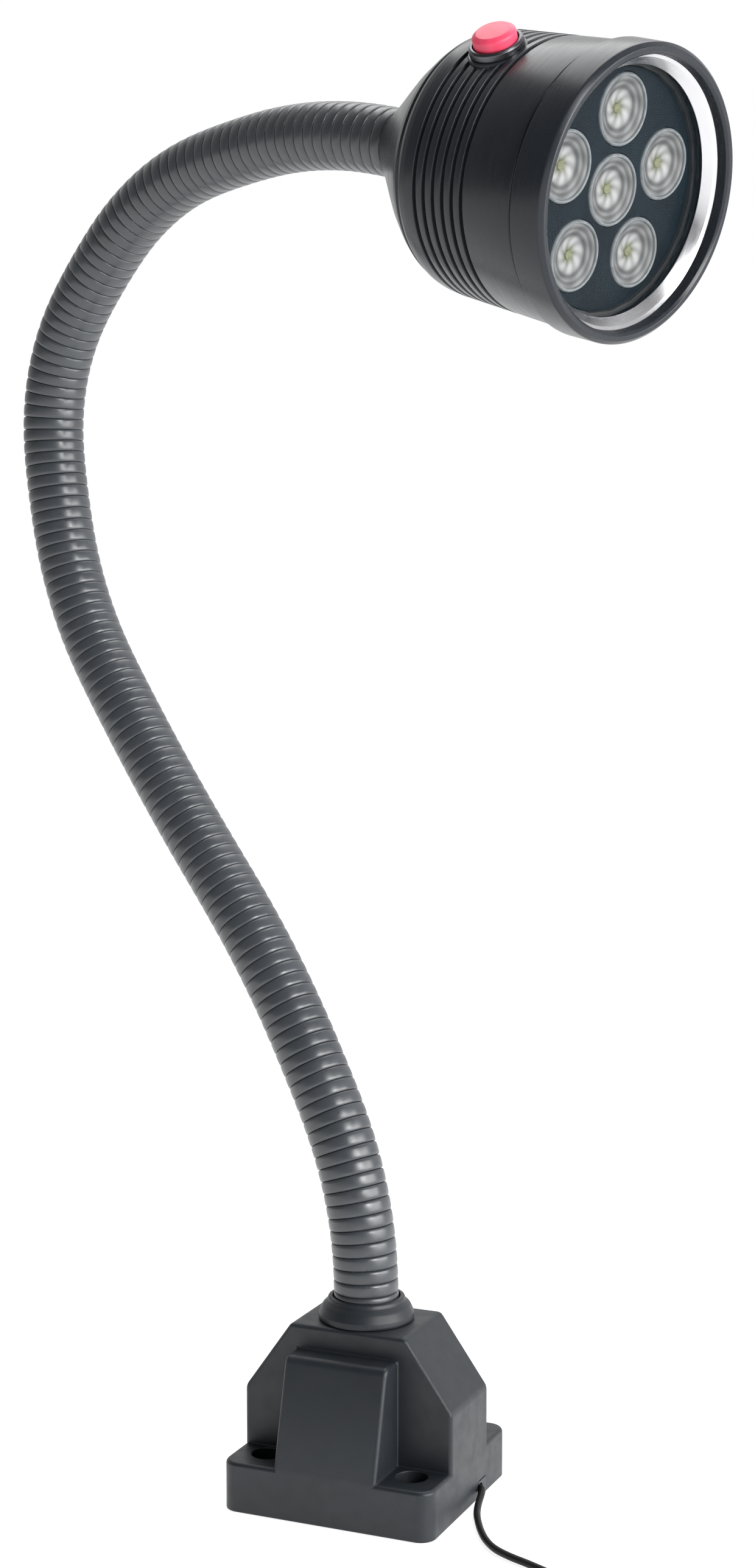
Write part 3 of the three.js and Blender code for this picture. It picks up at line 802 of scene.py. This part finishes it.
# ---------------------------------------------------------------- neck skin


def rib_radius(share):
    """The sleeve's outer radius at a share of the way along one rib."""
    offset = abs(2 * share - 1)
    crest = (1 - offset**4) ** 0.25
    return RIB_ROOT + (RIB_CREST - RIB_ROOT) * crest


RIB_SHARES = [0.0, 0.03, 0.1, 0.26, 0.5, 0.74, 0.9, 0.97]


def neck_skin(name, start, end, sides=44):
    """A ribbed tube along the neck from one distance to another, closed inside by a plain wall."""
    mesh_data = bmesh.new()
    rings = []

    def ring(along, radius):
        centre, direction = neck_spot(along)
        normal = direction.cross(NECK_SIDE)
        spots = []
        for i in range(sides):
            angle = 2 * math.pi * i / sides
            offset = normal * math.cos(angle) + NECK_SIDE * math.sin(angle)
            spots.append(mesh_data.verts.new((centre + offset * radius) * MM))
        rings.append(spots)

    first_rib = round(start / RIB_PITCH)
    last_rib = round(end / RIB_PITCH)
    ring(first_rib * RIB_PITCH, RIB_ROOT - 0.7)
    for rib in range(first_rib, last_rib):
        for share in RIB_SHARES:
            ring((rib + share) * RIB_PITCH, rib_radius(share))
    ring(last_rib * RIB_PITCH, RIB_ROOT)
    inner_steps = max(4, round((end - start) / 5))
    for k in range(inner_steps + 1):
        along = (last_rib - (last_rib - first_rib) * k / inner_steps) * RIB_PITCH
        if k < inner_steps:
            ring(along, RIB_ROOT - 0.7)
    for low, high in zip(rings, rings[1:] + rings[:1]):
        for i in range(sides):
            j = (i + 1) % sides
            mesh_data.faces.new((low[i], low[j], high[j], high[i]))
    bmesh.ops.recalc_face_normals(mesh_data, faces=mesh_data.faces)
    return finish_mesh(name, mesh_data, sleeve_plastic, 60)


def build_neck():
    count = len(NECK_TURNS)
    edges = [NECK_SKIN_START + 0.4]
    edges += [(k + 0.5) * SEGMENT for k in range(1, count - 1)]
    edges += [NECK_SKIN_END]
    for k in range(count - 1):
        skin = neck_skin(f"neck_skin_{k + 1}", edges[k], edges[k + 1])
        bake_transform(skin)
        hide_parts(f"neck_sleeve_{k + 1}")
        if k == count - 2:
            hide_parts(f"neck_sleeve_{count}")


build_neck()

# ---------------------------------------------------------------- head


def barrel_radius(along):
    share = (along - CAP_END) / (BODY_END - CAP_END)
    return BARREL_REAR + (BARREL_FRONT - BARREL_REAR) * share


def rear_cap():
    outline = [(10.5, CAP_START), (10.9, CAP_START, 0.2), (14.5, 14), (19.5, 20), (24.6, 26), (29.6, 32),
               (34.0, 38, 0.8), (35.5, CAP_END - 0.6, 0.5), (35.2, CAP_END, 0.3), (31.4, CAP_END),
               (15.6, 20.4), (15.2, 18), (8.9, 18), (8.9, 14), (10.5, 14)]
    return lathe("head_rear_cap_piece", outline, anodised, head_matrix, 128)


def head_body():
    rear = CAP_END + FIT_GAP
    outline = [(35.1, rear), (35.9, rear + 0.4, 0.4), (36.6, rear + 1.8, 1.0), (BARREL_REAR, rear + 3.6, 1.2)]
    for i in range(FIN_COUNT):
        middle = FIN_FIRST + i * FIN_PITCH
        radius = barrel_radius(middle)
        outline += [(radius, middle - FIN_WIDTH / 2, 0.25),
                    (radius - FIN_DEPTH, middle - FIN_WIDTH / 2 + 0.3, 0.2),
                    (radius - FIN_DEPTH, middle + FIN_WIDTH / 2 - 0.3, 0.2),
                    (radius, middle + FIN_WIDTH / 2, 0.25)]
    outline += [(BARREL_FRONT, BODY_END - 0.7, 0.3), (BARREL_FRONT - 0.8, BODY_END, 0.2), (33, BODY_END),
                (33, 75), (3, 75), (3, 68), (32.4, 68), (32.4, rear)]
    return lathe("head_body_piece", outline, anodised, head_matrix, 128)


def bezel():
    low = BODY_END + FIT_GAP
    outline = [(35.1, low), (39.5, low, 0.2), (BEZEL_RADIUS, low + 0.8, 0.4),
        (BEZEL_RADIUS, RIM_END - 1.2, 0.9),
               (39.1, RIM_END, 0.5), (37.8, RIM_END, 0.4), (37.0, RIM_END - 0.7, 0.3), (36.8, 94.8, 0.2),
               (35.9, 94.2, 0.1), (33.6, 91.8, 0.15), (35.1, 91.7)]
    piece = lathe("bezel_piece", outline, anodised, head_matrix, 144)
    piece.data.materials.append(bright_bevel)
    inverse = (Matrix.Scale(MM, 4) @ head_matrix).inverted()
    for face in piece.data.polygons:
        centre = inverse @ face.center
        radius = math.hypot(centre.x, centre.y)
        on_bevel = 91.75 < centre.z < 94.9 and 33.5 < radius < 36.9
        if on_bevel:
            face.material_index = 1
    return piece


def at_button():
    lift = Matrix.Translation((0, 0, BUTTON_ALONG))
    return head_matrix @ lift @ Matrix.Rotation(BUTTON_TURN, 4, "Z") @ Matrix.Rotation(math.pi / 2, 4, "Y")


cap = rear_cap()
barrel = head_body()
bezel_piece = bezel()
for piece, node in ((cap, "head_rear_cap"), (barrel, "head_body"), (bezel_piece, "bezel_ring")):
    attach(piece, "head")
    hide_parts(node)

# ---------------------------------------------------------------- lamp face


def lens_places():
    places = [(0.0, 0.0)]
    for i in range(5):
        angle = LENS_TURN + math.radians(72 * i)
        places.append((LENS_PITCH_RADIUS * math.cos(angle), LENS_PITCH_RADIUS * math.sin(angle)))
    return places


def in_head(x, y, z=0.0):
    return head_matrix @ Matrix.Translation((x, y, z))


def near(value, middle, reach):
    """1 at the middle, falling smoothly to 0 at the reach."""
    share = min(1.0, abs(value - middle) / reach)
    return (1 - share * share) ** 2


def lens_painted_refraction(across, rise):
    """Painted light and shade of a collimator lens at a place in it: the rings and facets round the die
    follow the optic's own shape, and their bright and dark bands are painted refraction, alike on every side.
    """
    radius = math.hypot(across, rise)
    angle = math.atan2(rise, across)
    facets = 0.5 + 0.5 * math.sin(angle * 7 + radius * 9)
    tone = 0.46 + 0.30 * near(radius, 0.42, 0.24)
    tone *= 0.72 + 0.42 * facets
    tone *= 1 - 0.45 * near(radius, 0, 0.3)
    tone *= 1 - 0.60 * near(radius, 0.66, 0.12)
    tone *= 1 - 0.55 * near(radius, 0.86, 0.09)
    tone = max(0.012, min(1.0, tone)) * LENS_PAINTED_BRIGHTNESS
    # Yellow tint round the middle: the die's colour seen through the optic, painted in.
    painted_die_tint = near(radius, 0.0, 0.4)
    return (
        tone * (1 - 0.10 * painted_die_tint),
        tone * (1 - 0.02 * painted_die_tint),
        tone * (0.99 - 0.45 * painted_die_tint),
        1.0,
    )


def lens_material():
    shader = Shader("lens_optic", (0.6, 0.62, 0.6), 0.3, 0.0, 0.2)
    # The base colour is the painted light and shade of the optic, held in the vertex colours.
    tone = shader.add("ShaderNodeVertexColor", layer_name="tone")
    shader.drive("Base Color", tone.outputs["Color"])
    shader.bump(shader.noise(900, 2), 0.00004, 0.5)
    return shader.material


def clear_rim_material():
    shader = Shader("lens_rim", (0.3, 0.32, 0.32), 0.3, 0.0, 0.3)
    shader.drive("Base Color", shader.mix(
        shader.spread(shader.noise(420, 3), 0, 1), (0.13, 0.145, 0.15), (0.22, 0.235, 0.24),
    ))
    return shader.material


def lens_bowl(name, x, y, material):
    """A stylised lens face: an open bowl, smaller than the CAD lens, coloured at every point with painted
    refraction light and shade.
    """
    mesh_data = bmesh.new()
    layer = mesh_data.verts.layers.float_color.new("tone")
    rings = []
    ring_count, sides = 22, 72
    for k in range(ring_count + 1):
        share = k / ring_count
        radius = 8.75 * share
        depth = LENS_FRONT - 0.35 - 2.2 * (1 - share**1.7)
        ring = []
        for i in range(sides if k else 1):
            angle = 2 * math.pi * i / sides
            vert = mesh_data.verts.new((x + radius * math.cos(angle), y + radius * math.sin(angle), depth))
            vert[layer] = lens_painted_refraction(-share * math.sin(angle), share * math.cos(angle))
            ring.append(vert)
        rings.append(ring)
    for i in range(sides):
        j = (i + 1) % sides
        mesh_data.faces.new((rings[0][0], rings[1][i], rings[1][j]))
        for low, high in zip(rings[1:], rings[2:]):
            mesh_data.faces.new((low[i], high[i], high[j], low[j]))
    bmesh.ops.transform(mesh_data, matrix=Matrix.Scale(MM, 4) @ head_matrix, verts=mesh_data.verts)
    return finish_mesh(name, mesh_data, material, 180)


def build_lenses():
    optic = lens_material()
    rim_finish = clear_rim_material()
    phosphor = Shader("led_phosphor", (0.30, 0.31, 0.16), 0.4, 0.0, 0.2)
    phosphor.drive("Base Color", phosphor.mix(
        phosphor.spread(phosphor.noise(1500, 2), 0, 1), (0.13, 0.135, 0.075), (0.22, 0.22, 0.13),
    ))
    for index, (x, y) in enumerate(lens_places()):
        number = index + 1
        bowl = lens_bowl(f"lens_{number}_optic", x, y, optic)
        rim_outline = [(8.7, 86.8), (9.75, 86.8), (9.8, 88.3, 0.3), (9.4, 88.75, 0.3), (8.9, 88.6, 0.3),
            (8.65, 87.9)]
        rim = lathe(f"lens_{number}_rim", rim_outline, rim_finish, in_head(x, y), 72)
        die_outline = [(0, 86.4), (1.2, 86.3, 0.4), (1.45, 85.9), (1.45, 84.8), (0, 84.8)]
        die = lathe(f"led_{number}_die", die_outline, phosphor.material, in_head(x, y), 32, closed=False)
        for piece in (bowl, rim, die):
            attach(piece, "head")
        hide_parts(f"lens_{number}")
        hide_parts(f"led_{number}")


def build_face_plate():
    """The dark plate that the lenses sit in."""
    shader = Shader("face_plate", (0.008, 0.015, 0.022), 0.3, 0.0, 0.08)
    shader.drive("Base Color", shader.mix(
        shader.spread(shader.noise(55, 3), 0, 1), (0.0025, 0.004, 0.0065), (0.005, 0.010, 0.014),
    ))
    low, high = LENS_FRONT - 2.3, LENS_FRONT - 0.3
    plate = prism(circle(32.6, sides=120), low, high, "Z")
    holes = [prism(circle(LENS_RADIUS + FIT_GAP, x, y, 72), low - 1, high + 1, "Z") for x, y in lens_places()]
    carve(plate, holes, "DIFFERENCE")
    plate.name = "face_plate"
    plate.data.transform(Matrix.Scale(MM, 4) @ head_matrix)
    plate.data.materials.clear()
    plate.data.materials.append(shader.material)
    plate.data.shade_smooth()
    plate.data.set_sharp_from_angle(angle=math.radians(30))
    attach(plate, "head")
    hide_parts("lens_holder")


def build_window():
    shader = Shader("window_glass", (0.04, 0.07, 0.09), 0.02, 0.0, 0.6)
    shader.put("IOR", 1.5)
    shader.put("Alpha", 0.05)
    outline = [(0, 88.95), (34.6, 88.95, 0.2), (34.8, 89.2), (34.8, 91.2), (34.6, 91.4, 0.2), (0, 91.4)]
    window = lathe("front_window_piece", outline, shader.material, head_matrix, 120, closed=False)
    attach(window, "head")
    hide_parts("front_window")


build_lenses()
build_face_plate()
build_window()

# ---------------------------------------------------------------- button


def build_button():
    shader = Shader("button_plastic", (0.80, 0.06, 0.14), 0.42)
    shader.drive("Base Color", shader.mix(
        shader.spread(shader.noise(260, 3), 0, 1), (0.74, 0.052, 0.115), (0.86, 0.085, 0.165),
    ))
    shader.put("Subsurface Weight", 0.12)
    shader.put("Subsurface Radius", (0.004, 0.001, 0.001))
    shader.bump(shader.noise(1800, 2), 0.00002, 0.5)
    radius = BUTTON_RADIUS
    cap_outline = [(0, 36), (2.4, 36), (2.4, 39.3), (radius, 39.3, 0.2), (radius, 42.4, 1.0),
                   (radius - 1.3, 43.35, 0.8), (0, 43.5)]
    button_cap = lathe("button_cap_piece", cap_outline, shader.material, at_button(), 64, closed=False)
    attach(button_cap, "button")
    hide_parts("button_cap")
    ring_outline = [(6.5, 38.1), (7.7, 38.1), (7.7, 39.6, 0.35), (7.2, 40.2, 0.3), (6.5, 40.2, 0.2)]
    ring = lathe("switch_collar_piece", ring_outline, dark_steel, at_button(), 64)
    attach(ring, "head")
    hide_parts("switch_collar")
    pad_outline = [(6.0, 35.6), (8.4, 35.6), (8.4, 37.4, 0.35), (8.1, 37.8, 0.2), (6.0, 37.8)]
    pad = lathe("button_pad_piece", pad_outline, anodised, at_button(), 64)
    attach(pad, "head")


build_button()

# ---------------------------------------------------------------- carried-over parts


def circuit_board(name, color, lighter):
    shader = Shader(name, color, 0.4)
    shader.drive("Base Color", shader.mix(shader.spread(shader.noise(260, 5), 0, 1), color, lighter))
    return shader.material


def repaint(names, material):
    for name in names:
        mesh = nodes[name].data
        mesh.materials.clear()
        mesh.materials.append(material)


repaint(["base_cover", "cord_grommet"], base_plastic)
repaint([f"base_cover_screw_{i}" for i in range(1, 5)], satin_steel)
repaint([f"neck_core_{i}" for i in range(1, 8)], satin_steel)
repaint(["neck_lower_ferrule", "neck_upper_ferrule", "neck_lock_nut", "head_lock_nut"], brass)
repaint(["window_gasket"], black_rubber)
repaint(["cord_inner_lead"], cord_plastic)
repaint(["cord_clamp", "terminal_block"], white_plastic)
repaint(["switch_nut"], bright_steel)
repaint(["switch_body"], black_rubber)
repaint(["led_board"], circuit_board("led_board", (0.62, 0.62, 0.60), (0.74, 0.74, 0.71)))
repaint(["driver_board"], circuit_board("driver_board", (0.02, 0.10, 0.05), (0.05, 0.20, 0.10)))

# ---------------------------------------------------------------- stage and light


def add_area(name, location, target, size, power, color=(1, 1, 1)):
    data = bpy.data.lights.new(name, "AREA")
    data.shape = "RECTANGLE"
    data.size, data.size_y = size
    data.energy = power
    data.color = color
    light = bpy.data.objects.new(name, data)
    light.location = location
    light.rotation_euler = (Vector(target) - Vector(location)).to_track_quat("-Z", "Y").to_euler()
    bpy.context.scene.collection.objects.link(light)
    return light


def add_stage():
    mesh = bpy.data.meshes.new("floor")
    mesh.from_pydata([(-6, -6, 0), (6, -6, 0), (6, 6, 0), (-6, 6, 0)], [], [(0, 1, 2, 3)])
    floor = new_object("floor", mesh)
    floor.location.z = -0.0002
    shader = Shader("floor", (0.6, 0.6, 0.6), 0.9)
    shader.put("Emission Color", (1, 1, 1, 1))
    shader.put("Emission Strength", 0.78)
    mesh.materials.append(shader.material)


def add_world():
    world = bpy.data.worlds.new("studio")
    bpy.context.scene.world = world
    world.use_nodes = True
    tree = world.node_tree
    background = tree.nodes["Background"]
    background.inputs["Color"].default_value = (1, 1, 1, 1)
    coordinates = tree.nodes.new("ShaderNodeTexCoord")
    split = tree.nodes.new("ShaderNodeSeparateXYZ")
    tree.links.new(coordinates.outputs["Generated"], split.inputs[0])
    ramp = tree.nodes.new("ShaderNodeMapRange")
    ramp.inputs["From Min"].default_value = -0.35
    ramp.inputs["From Max"].default_value = 0.75
    ramp.inputs["To Min"].default_value = 0.12
    ramp.inputs["To Max"].default_value = 0.9
    tree.links.new(split.outputs["Y"], ramp.inputs["Value"])
    path = tree.nodes.new("ShaderNodeLightPath")
    mix = tree.nodes.new("ShaderNodeMix")
    mix.inputs["B"].default_value = 1.0
    tree.links.new(path.outputs["Is Camera Ray"], mix.inputs["Factor"])
    tree.links.new(ramp.outputs["Result"], mix.inputs["A"])
    tree.links.new(mix.outputs["Result"], background.inputs["Strength"])


add_stage()
add_world()
add_area("softbox_right", (1.5, -0.1, 0.45), (0, 0, 0.2), (1.3, 0.8), 22)
add_area("softbox_top", (-0.1, 0.5, 1.6), (0, 0, 0.3), (1.2, 1.2), 13)
strip = add_area("strip_front_right", (1.0, -0.62, 0.75), (-0.12, 0, 0.36), (0.35, 0.8), 1.1)
strip.data.spread = math.radians(45)
bpy.context.scene.view_settings.view_transform = "Standard"
